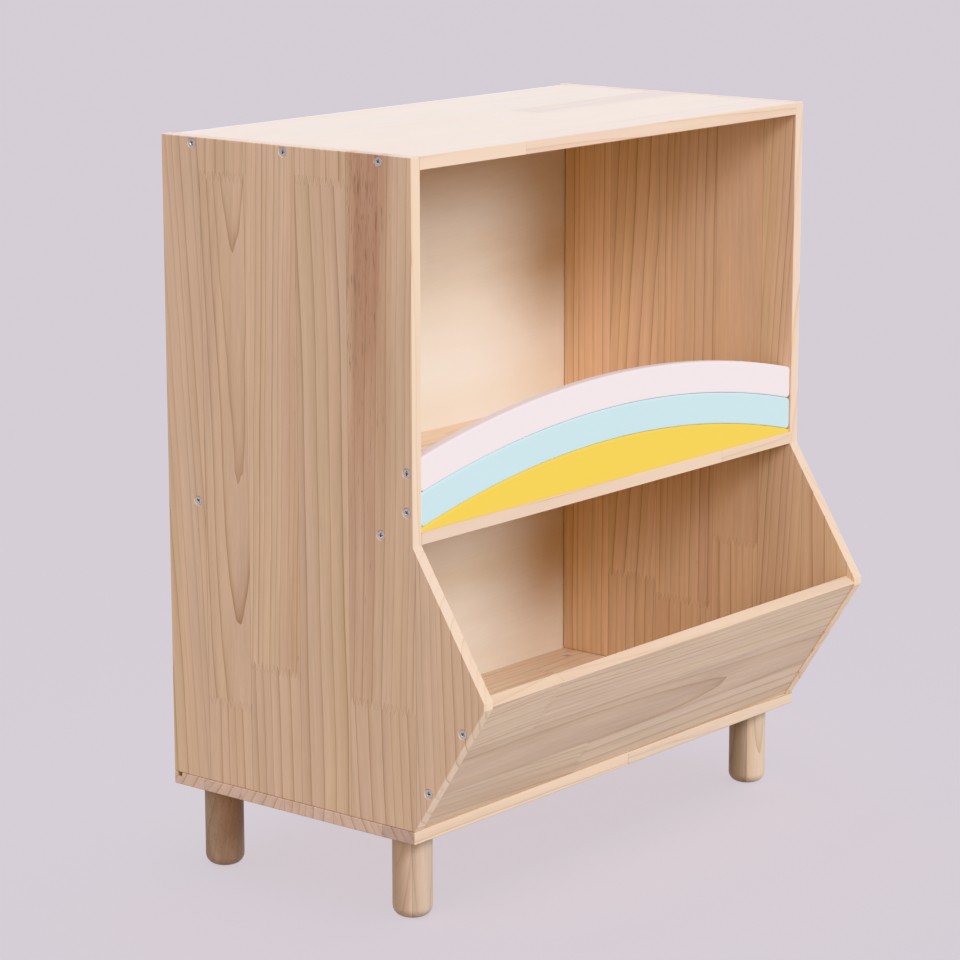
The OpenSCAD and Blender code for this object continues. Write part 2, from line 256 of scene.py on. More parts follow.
class WoodLooks(bpy.types.PropertyGroup):
    """Colours and gloss of the bare wood and the screws."""
    early: colour("Earlywood", "Pale wood between the ring lines", "E8CAAC")
    late: colour("Latewood", "Dark wood of the ring lines", "A17545")
    heart: colour("Heartwood", "Reddish brown near the pith of the odd stave", "C99D80")
    veneer: colour("Veneer", "Face of the plywood back panel", "F5E6D1")
    veneer_line: colour("Veneer figure", "Darker figure in the plywood", "EBD7BB")
    zinc: colour("Zinc", "Bright zinc on the screws", "DAD8D4")
    gloss: number("Roughness", "Roughness of the sealed pine", 0.46)
    seed: IntProperty(name="Wood seed", description="Seed for the boards' random logs", default=7)


class PaintLooks(bpy.types.PropertyGroup):
    """Colours and gloss of the painted rainbow."""
    outer: colour("Outer band", "Pale pink of the outer band", "ECDCD6")
    middle: colour("Middle band", "Pale cyan of the middle band", "B9CECB")
    inner: colour("Inner piece", "Warm yellow of the inner piece", "FFD63C")
    gloss: number("Roughness", "Roughness of the satin paint", 0.42)


class StageLooks(bpy.types.PropertyGroup):
    """Floor, light and backdrop."""
    paper: colour("Floor", "Lilac-grey paper floor, lit until it is pale", "A09AA2")
    front: light("Front light", "Softbox in front", (1.66, 1.82, 2.04))
    left: light("Left light", "Softbox front left", (0.45, 0.33, 0.29))
    boom: light("Boom light", "Softbox high in front", (1.79, 1.97, 2.25))
    side: light("Side light", "Weak warm fill from the left", (0.68, 0.60, 0.52))
    back: light("Back light", "Soft light that skims over the top", (1.77, 1.99, 2.31))
    floor: light("Floor light", "Even light that only the paper gets", (5.08, 5.16, 4.98))
    air: light("Room light", "Light from all round", (0.386, 0.373, 0.399))


def add(tree, kind, ins=(), out=0, **settings):
    """Adds a node with its settings and links, and returns one of its outputs.

    ins holds the inputs in their order, or by number or name. A socket is linked to its input.
    """
    made = tree.nodes.new("ShaderNode" + kind)
    for name, value in settings.items():
        setattr(made, name, value)
    for key, value in ins.items() if isinstance(ins, dict) else enumerate(ins):
        if isinstance(value, bpy.types.NodeSocket):
            tree.links.new(value, made.inputs[key])
        else:
            made.inputs[key].default_value = value
    return made.outputs[out] if made.outputs else made


def material(name):
    """A new material and its empty node tree."""
    made = bpy.data.materials.new(name)
    made.use_nodes = True
    made.node_tree.nodes.clear()
    return made, made.node_tree


def pine(name, looks, tone=1.0, contrast=1.0, lathe=0.0):
    """Scots or radiata pine, planed, sanded and sealed with a thin matt lacquer.

    The rings are cylinders round each stave's own pith, so a face shows flat-sawn arches or
    straight lines, the edges carry the same rings over the arris, and the ends show arcs.
    tone and contrast scale the wood's shade and its lines, lathe the marks of turning.
    """
    made, tree = material(name)
    log, stave, glue = (
        add(tree, "Attribute", out="Vector", attribute_name=mark)
        for mark in ("log", "stave", "glue"))
    cut = add(tree, "Attribute", out="Fac", attribute_name="cut")
    darkness, red, ring_width = add(tree, "SeparateXYZ", [stave]).node.outputs
    low_seam, high_seam, finger = add(tree, "SeparateXYZ", [glue]).node.outputs

    # The trunk isn't round: its rings swing by about 4 mm over 100 mm, and waver by 0.5 mm.
    # The noise is 0.5 on average, so half of both reaches goes off again.
    bent, swing, waver = log, 9.0, 1.2
    for cell, detail, reach in (((95, 95, 300), 1.0, swing), ((12, 12, 70), 2.0, waver)):
        sway = add(tree, "TexNoise", {
            "Vector": add(tree, "VectorMath", [log, cell], operation="DIVIDE"),
            "Scale": 1.0, "Detail": detail}, out="Color")
        bent = add(tree, "VectorMath", [sway, (reach, reach, 0), bent],
                   operation="MULTIPLY_ADD")
    middle = (swing + waver) / 2
    bent = add(tree, "VectorMath", [bent, (middle, middle, 0)], operation="SUBTRACT")
    flat = add(tree, "VectorMath", [bent, (1, 1, 0)], operation="MULTIPLY")
    radius = add(tree, "VectorMath", [flat], out="Value", operation="LENGTH")

    # Each year's ring has its own width and its own darkness.
    years = add(tree, "Math", [radius, ring_width], operation="DIVIDE")
    uneven = add(tree, "TexNoise", {
        "W": add(tree, "Math", [years, 0.45], operation="MULTIPLY"),
        "Scale": 1.0, "Detail": 0.0}, noise_dimensions="1D")
    years = add(tree, "Math", [uneven, 1.3, years], operation="MULTIPLY_ADD")
    in_year, year = (add(tree, "Math", [years], operation=part) for part in ("FRACT", "FLOOR"))
    dark_year = add(tree, "TexWhiteNoise", {
        "W": add(tree, "Math", [year, 17.3], operation="ADD")}, noise_dimensions="1D")
    # The wood darkens slowly through a year and ends it in a line 0.6 mm wide, in any ring.
    sharpness = add(tree, "Math", [ring_width, 1.3, 3.0], operation="MULTIPLY_ADD")
    line, slow = (
        add(tree, "Math", [in_year, power], operation="POWER") for power in (sharpness, 2.5))
    soft = add(tree, "MapRange", [ring_width, 4.0, 12.0, 0.20, 0.42])
    late = add(tree, "Math", [slow, soft, line], operation="MULTIPLY_ADD")
    strength = add(tree, "MapRange", {0: dark_year, 3: 0.20 * contrast, 4: 0.77 * contrast})
    rings = add(tree, "Math", [late, strength], operation="MULTIPLY")

    # Fibres run along the log: broad bands 14 mm apart, streaks 2 mm wide, threads 0.5 mm wide,
    # and resin canals. The colour drifts from yellowish to pinkish over 30 mm or so.
    bands, streaks, threads, canals, drift = (
        add(tree, "TexNoise", {
            "Vector": add(tree, "VectorMath", [bent, cell], operation="DIVIDE"),
            "Scale": 1.0, "Detail": detail}, out=out)
        for cell, detail, out in (
            ((14, 14, 240), 1.0, 0), ((2.2, 2.2, 75), 2.0, 0), ((0.5, 0.5, 16), 1.0, 0),
            ((1, 1, 19), 1.0, 0), ((28, 28, 420), 1.0, "Color")))
    # Near the pith the wood is red, and most of the canals are there: dashes 0.6 by 14 mm.
    near_pith = add(tree, "MapRange", [radius, 78.0, 98.0, 1.0, 0.0])
    redness = add(tree, "Math", [red, near_pith], operation="MULTIPLY")
    canal_edge = add(tree, "MapRange", {0: redness, 3: 0.80, 4: 0.57})
    canals = add(tree, "MapRange", [
        canals, canal_edge,
        add(tree, "Math", [canal_edge, 0.07], operation="ADD")])
    redness = add(tree, "Math", [
        redness, add(tree, "MapRange", [bands, 0.30, 0.62, 0.25, 1.0])],
        operation="MULTIPLY")
    base = (*looks.early, 1)
    for share, wood in ((rings, looks.late), (redness, looks.heart)):
        base = add(tree, "Mix", {0: share, 6: base, 7: (*wood, 1)}, out=2, data_type="RGBA")
    hue = add(tree, "VectorMath", [drift, (0.03, 0.05, 0.17), (0.985, 0.975, 0.905)],
              operation="MULTIPLY_ADD")
    base = add(tree, "VectorMath", [base, hue], operation="MULTIPLY")

    # A glue line is a dark hairline of 0.1 mm, drawn 0.5 mm wide so that it doesn't vanish. The
    # fingers are pressed tighter than the seams and show less.
    seam = add(tree, "Math", [low_seam, high_seam], operation="MINIMUM")
    gap = add(tree, "Math", [
        seam, add(tree, "Math", [finger, 0.1], operation="ADD")],
        operation="MINIMUM")
    # What darkens the wood, from which value to which, and its shade at either.
    shades = [
        (bands, 0.25, 0.75, 1.05, 0.95), (streaks, 0.3, 0.7, 1.045, 0.955),
        (threads, 0.3, 0.7, 1.03, 0.97), (gap, 0.1, 0.3, 0.66, 1.0), (canals, 0.0, 1.0, 1.0, 0.66),
    ]
    reliefs = [(threads, 0.5), (streaks, 0.8), (canals, -0.8)]
    if lathe:
        # Sanding on the lathe leaves rings 0.5 mm apart round a turned leg.
        turned = add(tree, "TexNoise", {
            "W": add(tree, "Math", [
                add(tree, "SeparateXYZ", [log], out=2), 2.0], operation="MULTIPLY"),
            "Scale": 1.0, "Detail": 1.0}, noise_dimensions="1D")
        shades.append((turned, 0.3, 0.7, 1.02, 0.98))
        reliefs.append((turned, lathe))
    shade = add(tree, "MapRange", {0: darkness, 3: 1.05 * tone, 4: 0.88 * tone}, clamp=False)
    for cause, low, high, at_low, at_high in shades:
        part = add(tree, "MapRange", [cause, low, high, at_low, at_high])
        shade = add(tree, "Math", [shade, part], operation="MULTIPLY")
    skin = add(tree, "VectorMath", {0: base, 3: shade}, operation="SCALE")
    # Cut ends are greyer and pinker than the faces, and duller; a slanting edge is still a face.
    cut = add(tree, "MapRange", [cut, 0.6, 0.95])
    end = add(tree, "VectorMath", [skin, (1.0, 1.02, 1.16)], operation="MULTIPLY")
    skin = add(tree, "Mix", {0: cut, 6: skin, 7: end}, out=2, data_type="RGBA")

    height = rings
    for cause, rise in reliefs:
        height = add(tree, "Math", [cause, rise, height], operation="MULTIPLY_ADD")
    relief = add(tree, "Bump", {"Strength": 0.35, "Distance": 0.00006, "Height": height})
    dull = add(tree, "MapRange", [
        streaks, 0.25, 0.75, looks.gloss - 0.05, looks.gloss + 0.07])
    dull = add(tree, "Math", [cut, 0.18, dull], operation="MULTIPLY_ADD")
    face = add(tree, "BsdfPrincipled", {
        "Base Color": skin, "Roughness": dull, "IOR": 1.5, "Normal": relief})
    add(tree, "OutputMaterial", {"Surface": face})
    return made


def plywood(name, looks):
    """Poplar plywood, rotary-cut and sanded: smooth and pale, faintly streaked along the grain."""
    made, tree = material(name)
    log = add(tree, "Attribute", out="Vector", attribute_name="log")
    stave = add(tree, "Attribute", out="Vector", attribute_name="stave")
    core = add(tree, "SeparateXYZ", [stave]).node.outputs[1]
    # A rotary knife follows the rings, so they show as wide soft loops, about 60 mm by 600 mm.
    wave = add(tree, "TexNoise", {
        "Vector": add(tree, "VectorMath", [log, (60, 20, 600)], operation="DIVIDE"),
        "Scale": 1.0, "Detail": 3.0})
    loops = add(tree, "MapRange", [wave, 0.35, 0.72])
    fibres = add(tree, "TexNoise", {
        "Vector": add(tree, "VectorMath", [log, (1.6, 1.6, 28)], operation="DIVIDE"),
        "Scale": 1.0, "Detail": 2.0})
    base = add(tree, "Mix", {0: loops, 6: (*looks.veneer, 1), 7: (*looks.veneer_line, 1)},
               out=2, data_type="RGBA")
    shade = add(tree, "MapRange", [fibres, 0.3, 0.7, 1.014, 0.984])
    shade = add(tree, "Math", [
        shade, add(tree, "MapRange", {0: core, 3: 1.0, 4: 0.72})], operation="MULTIPLY")
    skin = add(tree, "VectorMath", {0: base, 3: shade}, operation="SCALE")
    relief = add(tree, "Bump", {"Strength": 0.3, "Distance": 0.00004, "Height": fibres})
    dull = add(tree, "MapRange", [fibres, 0.3, 0.7, 0.46, 0.58])
    face = add(tree, "BsdfPrincipled", {
        "Base Color": skin, "Roughness": dull, "IOR": 1.5, "Normal": relief})
    add(tree, "OutputMaterial", {"Surface": face})
    return made


def paint(name, base, gloss):
    """Satin water-based enamel, rolled on sanded pine: an even colour with a fine stipple."""
    made, tree = material(name)
    place = add(tree, "TexCoord", out="Object")
    # Roller stipple about 0.9 mm across, and thicker and thinner paint over 60 mm.
    stipple = add(tree, "TexNoise", {"Vector": place, "Scale": 1100.0, "Detail": 1.5})
    coats = add(tree, "TexNoise", {"Vector": place, "Scale": 16.0, "Detail": 2.0})
    # The grain under the paint still shows as faint level ridges 3 mm apart.
    grain = add(tree, "TexNoise", {
        "Vector": add(tree, "VectorMath", [place, (9, 330, 330)], operation="MULTIPLY"),
        "Scale": 1.0, "Detail": 1.0})
    tint = add(tree, "MapRange", [coats, 0.3, 0.7, 1.012, 0.985])
    tint = add(tree, "Math", [
        tint, add(tree, "MapRange", [stipple, 0.3, 0.7, 1.008, 0.992])],
        operation="MULTIPLY")
    skin = add(tree, "VectorMath", {0: tuple(base), 3: tint}, operation="SCALE")
    height = add(tree, "Math", [grain, 0.7, stipple], operation="MULTIPLY_ADD")
    relief = add(tree, "Bump", {"Strength": 0.25, "Distance": 0.00005, "Height": height})
    dull = add(tree, "MapRange", [stipple, 0.3, 0.7, gloss - 0.04, gloss + 0.05])
    face = add(tree, "BsdfPrincipled", {
        "Base Color": skin, "Roughness": dull, "IOR": 1.5, "Normal": relief})
    add(tree, "OutputMaterial", {"Surface": face})
    return made


def zinc_plate(name, base):
    """Bright zinc plate on cold-formed steel screws: pale, slightly cloudy metal."""
    made, tree = material(name)
    place = add(tree, "TexCoord", out="Object")
    # Clouds of the passivated layer, 1.2 mm across.
    clouds = add(tree, "TexNoise", {"Vector": place, "Scale": 850.0, "Detail": 2.0})
    tint = add(tree, "MapRange", [clouds, 0.3, 0.7, 1.04, 0.86])
    skin = add(tree, "VectorMath", {0: tuple(base), 3: tint}, operation="SCALE")
    dull = add(tree, "MapRange", [clouds, 0.3, 0.7, 0.24, 0.42])
    relief = add(tree, "Bump", {"Strength": 0.2, "Distance": 0.00002, "Height": clouds})
    face = add(tree, "BsdfPrincipled", {
        "Base Color": skin, "Metallic": 1.0, "Roughness": dull, "Normal": relief})
    add(tree, "OutputMaterial", {"Surface": face})
    return made


def paper(name, base):
    """Matt studio background paper: one pale colour with a faint felt of fibres."""
    made, tree = material(name)
    place = add(tree, "TexCoord", out="Object")
    # The felt is drawn 4.5 mm coarse, so that it doesn't vanish.
    felt = add(tree, "TexNoise", {"Vector": place, "Scale": 220.0, "Detail": 2.0})
    tint = add(tree, "MapRange", [felt, 0.3, 0.7, 1.004, 0.996])
    skin = add(tree, "VectorMath", {0: tuple(base), 3: tint}, operation="SCALE")
    face = add(tree, "BsdfPrincipled", {
        "Base Color": skin, "Roughness": 0.95, "Specular IOR Level": 0.1})
    add(tree, "OutputMaterial", {"Surface": face})
    return made


def finish_of(name):
    """The shared material of that name, made when it is first asked for."""
    if name in bpy.data.materials:
        return bpy.data.materials[name]
    wood, rainbow = bpy.context.scene.wood_looks, bpy.context.scene.paint_looks
    makers = {
        "pine_planed_sealed": lambda: pine(name, wood),
        # The legs' lower tone is partly painted shade, for the shade under the cabinet.
        "pine_turned_sealed": lambda: pine(name, wood, tone=0.73, contrast=0.6, lathe=0.6),
        "poplar_plywood_sanded": lambda: plywood(name, wood),
        "satin_enamel_pink": lambda: paint(name, rainbow.outer, rainbow.gloss),
        "satin_enamel_cyan": lambda: paint(name, rainbow.middle, rainbow.gloss),
        "satin_enamel_yellow": lambda: paint(name, rainbow.inner, rainbow.gloss),
        "zinc_plated_steel": lambda: zinc_plate(name, wood.zinc),
    }
    return makers[name]()


class Grain:
    """How the wood of a board runs, and where its staves and their finger joints meet.

    seams are the places of the glue lines across the board, in ascending order. Each stave has
    the places of its finger joints along the board, then the logs of its pieces in that order.
    A log says where the pith lies: mm across from the stave's middle and mm deep from the
    board's middle, its lean across and in depth in mm for each metre, the ring width in mm, the
    darkness and the redness, or the redness at both ends. A piece without a log gets a random
    one from the seed.
    """

    def __init__(self, along, across, seams=(), staves=(((),),), seed=0):
        self.along, self.across = along.normalized(), across.normalized()
        self.through = self.along.cross(self.across)
        self.seams, self.seed = list(seams), seed
        self.joints = [joints for joints, *_ in staves]
        self.logs = [logs for _, *logs in staves]

    def stave_at(self, place):
        """Number of the stave that a point lies in."""
        return sum(place.dot(self.across) > seam for seam in self.seams)

    def all_joints(self):
        """Every finger joint, as its stave's number and its place along the board."""
        return [(stave, joint) for stave, joints in enumerate(self.joints) for joint in joints]

    def finger_wave(self, place, pitch):
        """Zigzag of the fingers at a point across the board, from -1 to 1."""
        turn = place.dot(self.across) / pitch
        return 1 - 2 * abs((turn % 2) - 1)

    def random_log(self, rng):
        """A log as a sawmill would give: some flat-sawn, most of them rift-sawn."""
        side = rng.choice((-1, 1))
        if rng.random() < FLAT_SAWN:
            where = (rng.uniform(-12, 12), side * rng.uniform(30, 60))
            lean = (rng.uniform(-15, 15), rng.choice((-1, 1)) * rng.uniform(15, 40))
            ring = rng.uniform(4.5, 8.0)
        else:
            where = (rng.choice((-1, 1)) * rng.uniform(60, 120), side * rng.uniform(20, 80))
            lean = (rng.uniform(-40, 40), rng.uniform(-20, 20))
            ring = rng.uniform(4.5, 9.0)
        return (*where, *lean, ring, rng.uniform(0.1, 0.6), rng.uniform(0.0, 0.25))


def cut_faces(bm, faces, place, normal):
    """Cuts some faces of a mesh along a plane and leaves the rest closed round them."""
    geom = set(faces)
    for face in faces:
        geom.update(face.edges)
        geom.update(face.verts)
    bmesh.ops.bisect_plane(bm, geom=list(geom), dist=1e-6, plane_co=place, plane_no=normal)


def cut_staves(bm, grain, sizes):
    """Cuts a board's skin along its glue lines and along the zigzag of its finger joints."""
    along, across = grain.along, grain.across
    half, pitch = sizes.finger_length / 2, sizes.finger_pitch

    def near(stave, joint, reach):
        """The stave's faces whose middles lie within reach of the joint."""
        middles = [(face, face.calc_center_median()) for face in bm.faces]
        return [
            face for face, middle in middles
            if grain.stave_at(middle) == stave and abs(middle.dot(along) - joint) < reach
        ]

    for seam in grain.seams:
        cut_faces(bm, bm.faces[:], across * seam, across)
    for stave, joint in grain.all_joints():
        for end in (joint - half, joint + half):
            cut_faces(bm, near(stave, joint, math.inf), along * end, along)
        span = [v.co.dot(across) for face in near(stave, joint, half) for v in face.verts]
        first, last = math.floor(min(span) / pitch), math.ceil(max(span) / pitch)
        for step in range(first, last + 1):
            cut_faces(bm, near(stave, joint, half), across * step * pitch, across)
        for step in range(first, last):
            cell = [
                face for face in near(stave, joint, half)
                if 0 < face.calc_center_median().dot(across) / pitch - step < 1
            ]
            rise = half if step % 2 == 0 else -half
            low = across * step * pitch + along * (joint - rise)
            slant = across * pitch + along * (2 * rise)
            cut_faces(bm, cell, low, slant.cross(grain.through).normalized())


def mark_grain(bm, grain, sizes, random_seed):
    """Marks each corner with its place in its log, its stave's looks and the glue's distance."""
    log = bm.loops.layers.float_vector.new("log")
    looks = bm.loops.layers.float_vector.new("stave")
    glue = bm.loops.layers.float_vector.new("glue")
    cut = bm.faces.layers.float.new("cut")
    half, pitch = sizes.finger_length / 2, sizes.finger_pitch
    flank = pitch / math.hypot(pitch, 2 * half)
    spans = [v.co.dot(grain.across) for v in bm.verts]
    edges = [min(spans)] + grain.seams + [max(spans)]
    runs = [v.co.dot(grain.along) for v in bm.verts]
    depths = [v.co.dot(grain.through) for v in bm.verts]
    mid_depth = (min(depths) + max(depths)) / 2
    rng = random.Random(random_seed * 1000 + grain.seed)
    pieces = {}
    for stave, joints in enumerate(grain.joints):
        for number in range(len(joints) + 1):
            drawn, start = grain.random_log(rng), rng.uniform(*LOG_START)
            given = grain.logs[stave]
            pieces[stave, number] = (given[number] if number < len(given) else drawn, start)
    for face in bm.faces:
        centre = face.calc_center_median()
        stave = grain.stave_at(centre)
        joints = grain.joints[stave]
        wave = grain.finger_wave(centre, pitch) * half
        number = sum(centre.dot(grain.along) > joint + wave for joint in joints)
        (pith_a, pith_d, lean_a, lean_d, ring, dark, *red), start = pieces[stave, number]
        ends = [min(runs), *joints, max(runs)]
        middle = (edges[stave] + edges[stave + 1]) / 2
        fingers = [joint for joint in joints if abs(centre.dot(grain.along) - joint) < half]
        for loop in face.loops:
            at = loop.vert.co
            run, place = at.dot(grain.along), at.dot(grain.across)
            loop[log] = (
                (place - middle) * MM - pith_a - lean_a * run,
                (at.dot(grain.through) - mid_depth) * MM - pith_d - lean_d * run,
                run * MM + start,
            )
            share = (run - ends[number]) / (ends[number + 1] - ends[number])
            loop[looks] = (dark, red[0] + (red[-1] - red[0]) * share, ring)
            tooth = grain.finger_wave(at, pitch) * half
            zigzag = [abs(run - joint - tooth) * flank for joint in fingers]
            loop[glue] = (
                (place - edges[stave]) * MM if stave else NO_GLUE,
                (edges[stave + 1] - place) * MM if stave < len(grain.seams) else NO_GLUE,
                zigzag[0] * MM if zigzag else NO_GLUE,
            )
        face[cut] = abs(face.normal.dot(grain.along))


def rectangle(low, high):
    """Outline in Y and Z of the box between two corners."""
    return [(low.y, low.z), (high.y, low.z), (high.y, high.z), (low.y, high.z)]


def prism(outline, x_low, x_high):
    """A board with that outline in Y and Z, from one X to another."""
    bm = bmesh.new()
    rings = [[bm.verts.new((x, y, z)) for y, z in outline] for x in (x_low, x_high)]
    made = [bm.faces.new(ring) for ring in rings]
    for i in range(len(outline)):
        j = (i + 1) % len(outline)
        made.append(bm.faces.new((rings[0][i], rings[0][j], rings[1][j], rings[1][i])))
    bmesh.ops.recalc_face_normals(bm, faces=made)
    return bm


def block(bm, low, high):
    """Adds a box of waste to a cutter."""
    corners = [
        bm.verts.new((x, y, z))
        for x in (low[0], high[0]) for y in (low[1], high[1]) for z in (low[2], high[2])
    ]
    sides = (
        (0, 1, 3, 2), (4, 6, 7, 5), (0, 4, 5, 1), (2, 3, 7, 6), (0, 2, 6, 4), (1, 5, 7, 3))
    made = [bm.faces.new([corners[i] for i in side]) for side in sides]
    bmesh.ops.recalc_face_normals(bm, faces=made)


def turned(profile, steps, bm=None, to_world=None):
    """A closed solid turned about Z from (radius, height) points, from axis to axis."""
    bm = bm or bmesh.new()
    to_world = to_world or Matrix()
    turns = [2 * math.pi * i / steps for i in range(steps)]
    rings = [
        [
            bm.verts.new(to_world @ Vector((radius * math.cos(a), radius * math.sin(a), height)))
            for a in (turns if radius else (0,))
        ]
        for radius, height in profile
    ]
    made = []
    for low, high in zip(rings, rings[1:]):
        for i in range(steps):
            j = (i + 1) % steps
            way = ((low, i), (low, j), (high, j), (high, i))
            corners = [ring[k % len(ring)] for ring, k in way]
            made.append(bm.faces.new(list(dict.fromkeys(corners))))
    bmesh.ops.recalc_face_normals(bm, faces=made)
    return bm


def quarter(steps):
    """Sine and cosine of the angles that a quarter turn passes in so many steps."""
    angles = [math.pi / 2 * i / steps for i in range(steps + 1)]
    return [(math.sin(angle), math.cos(angle)) for angle in angles]


def aimed(place, direction):
    """Matrix that puts the origin at a place and turns Z to a direction."""
    return Matrix.Translation(place) @ direction.to_track_quat("Z", "X").to_matrix().to_4x4()


def mesh_object(name, bm):
    """An object in the scene that takes over a finished mesh."""
    mesh = bpy.data.meshes.new(name)
    bm.to_mesh(mesh)
    bm.free()
    made = bpy.data.objects.new(name, mesh)
    bpy.context.scene.collection.objects.link(made)
    return made


def throw_away(*things):
    """Removes helper objects and their meshes."""
    for thing in things:
        mesh = thing.data
        bpy.data.objects.remove(thing)
        bpy.data.meshes.remove(mesh)


def rounded_and_cut(bm, arris=None, cutter=None):
    """Rounds the weighted edges of a mesh, cuts away the cutter and returns the new mesh."""
    blank = mesh_object("blank", bm)
    if arris:
        rounding = blank.modifiers.new("Arrises", "BEVEL")
        rounding.limit_method = "WEIGHT"
        rounding.width, rounding.segments = arris, ARRIS_STEPS
    if cutter:
        waste = mesh_object("waste", cutter)
        cut = blank.modifiers.new("Holes", "BOOLEAN")
        cut.operation, cut.solver, cut.object = "DIFFERENCE", "EXACT", waste
    bpy.context.view_layer.update()
    shaped = bmesh.new()
    shaped.from_object(blank, bpy.context.evaluated_depsgraph_get())
    throw_away(blank, *([waste] if cutter else []))
    return shaped


def soften(bm, share):
    """Sets how much of the arris radius each edge gets, by its middle and its direction."""
    weight = bm.edges.layers.float.new("bevel_weight_edge")
    for edge in bm.edges:
        a, b = (v.co for v in edge.verts)
        edge[weight] = share((a + b) / 2, (b - a).normalized())
    return bm


def runs_across(direction):
    """Whether an edge of that direction runs from side to side of the cabinet."""
    return abs(direction.x) > 0.9


def hole_cutter(places, screws):
    """The waste of all the countersunk holes at (place, direction, length)."""
    bm = bmesh.new()
    bore = screws.shank_radius + screws.clearance
    floor = screws.sunk + screws.rim + screws.head_radius - screws.shank_radius
    for place, direction, length in places:
        end = screws.sunk + length + screws.clearance
        profile = [(0, -OVER), (bore + floor + OVER, -OVER), (bore, floor), (bore, end), (0, end)]
        turned(profile, SCREW_STEPS, bm, aimed(place, direction))
    return bm


def fit_piece(name, bm, node, finish, sharp=32):
    """Puts a finished piece in the scene, in the place of its CAD node."""
    piece = mesh_object(name, bm)
    piece.data.materials.append(finish_of(finish))
    piece.data.shade_smooth()
    piece.data.set_sharp_from_angle(angle=math.radians(sharp))
    flats = piece.modifiers.new("Flat faces stay flat", "WEIGHTED_NORMAL")
    flats.keep_sharp = True
    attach(piece, "root")
    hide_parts(node)


def fit_board(node, outline, ends, share, grain, holes=(), extra=None):
    """Makes a pine board: outline, rounded arrises, holes and grooves, staves and grain."""
    scene = bpy.context.scene
    sizes = scene.cabinet_sizes
    cutter = hole_cutter(holes, scene.screw_sizes)
    if extra:
        extra(cutter)
    bm = soften(prism(outline, *ends), share)
    bm = rounded_and_cut(bm, sizes.arris, cutter if len(cutter.faces) else None)
    cut_staves(bm, grain, sizes)
    mark_grain(bm, grain, sizes, scene.wood_looks.seed)
    fit_piece(node + "_pine", bm, node, "pine_planed_sealed")


def slope(sizes):
    """Up the bin's sloping front edge, square to it into the bin, and the edge's length."""
    edge = Vector((0, NOSE_Y - FRONT_Y, sizes.nose_low - FLOOR_Z))
    up = edge.normalized()
    inward = X_AXIS.cross(up)
    return up, inward if inward.y > 0 else -inward, edge.length


def rainbow_arcs(sizes):
    """Height of the arcs' common centre, and the outer radii of the inner piece and the bands."""
    radius = (BUTT_HALF ** 2 + sizes.segment_rise ** 2) / (2 * sizes.segment_rise)
    centre = SHELF_TOP + sizes.segment_end + sizes.segment_rise - radius
    return centre, radius, radius + sizes.band_width, radius + 2 * sizes.band_width


def arc_height(centre, radius, x):
    """Height of an arc of the rainbow at that X."""
    return centre + math.sqrt(radius ** 2 - x ** 2)


def screw_rows():
    """Every row of screws: name, then (place, direction, length) of each screw."""
    scene = bpy.context.scene
    sizes, screws = scene.cabinet_sizes, scene.screw_sizes
    up, inward, length = slope(sizes)
    foot = Vector((0, FRONT_Y, FLOOR_Z)) + inward * (sizes.bin_inset + BOARD / 2)
    high_screw = length + sizes.bin_over - screws.bin_high
    centre, *_, middle_r, outer_r = rainbow_arcs(sizes)
    rainbow_y = (BOX["rainbow_outer_arc"][0].y + BOX["rainbow_outer_arc"][1].y) / 2

    def band_end(radius):
        edges = (radius, radius - sizes.band_width)
        return sum(arc_height(centre, edge, BUTT_HALF) for edge in edges) / 2

    front, back = MID_Y - screws.spread, MID_Y + screws.spread
    sides = {
        "top_board_screws": [(y, TOP_Z - BOARD / 2) for y in (front, MID_Y, back)],
        "shelf_screws": [(y, SHELF_Z + BOARD / 2) for y in (front, back)],
        "outer_arc_screws": [(rainbow_y, band_end(outer_r) + screws.outer_rise)],
        "middle_arc_screws": [(rainbow_y, band_end(middle_r))],
        "bin_front_screws": [(foot + up * way).yz for way in (screws.bin_low, high_screw)],
    }
    rows = {
        name: [
            (Vector((side * HALF_W, *place)), Vector((-side, 0, 0)), screws.long)
            for side in (-1, 1) for place in places
        ]
        for name, places in sides.items()
    }
    rows["inner_segment_screws"] = [
        (Vector((x, rainbow_y, SHELF_Z)), Z_AXIS, screws.short)
        for x in (-screws.inner_spread, screws.inner_spread)]
    rows["bottom_board_screws"] = [
        (Vector((side * (HALF_W - BOARD / 2), y, UNDER_Z)), Z_AXIS, screws.long)
        for side in (-1, 1) for y in (front, MID_Y, back)]
    rows["leg_screws"] = [
        (Vector((*leg_middle(node), FLOOR_Z)), -Z_AXIS, screws.leg) for node in LEG_WOOD]
    return rows


def leg_middle(node):
    """X and Y of a leg's axis."""
    low, high = BOX[node]
    return ((low + high) / 2).xy


def fit_side(node, side):
    """Makes a side panel: side is -1 for the left one and 1 for the right one."""
    sizes = bpy.context.scene.cabinet_sizes
    holes = [hole for row in screw_rows().values() for hole in row if hole[1].x == -side]
    outline = [
        (FRONT_Y, SIDE_Z), (BACK_Y, SIDE_Z), (BACK_Y, TOP_Z), (FRONT_Y, TOP_Z),
        (FRONT_Y, SHELF_Z), (NOSE_Y, sizes.nose_high), (NOSE_Y, sizes.nose_low),
    ]

    def groove(cutter):
        ends = sorted((side * (INNER_HALF + sizes.groove_depth), side * (INNER_HALF - OVER)))
        low = (ends[0], GROOVE_Y - sizes.groove_play, SIDE_Z - OVER)
        block(cutter, low, (ends[1], GROOVE_BACK, TOP_Z + OVER))

    fit_board(
        node, outline, sorted((side * HALF_W, side * INNER_HALF)),
        lambda middle, direction: 1.0, Grain(Z_AXIS, Y_AXIS, *WOOD[node]), holes, groove)


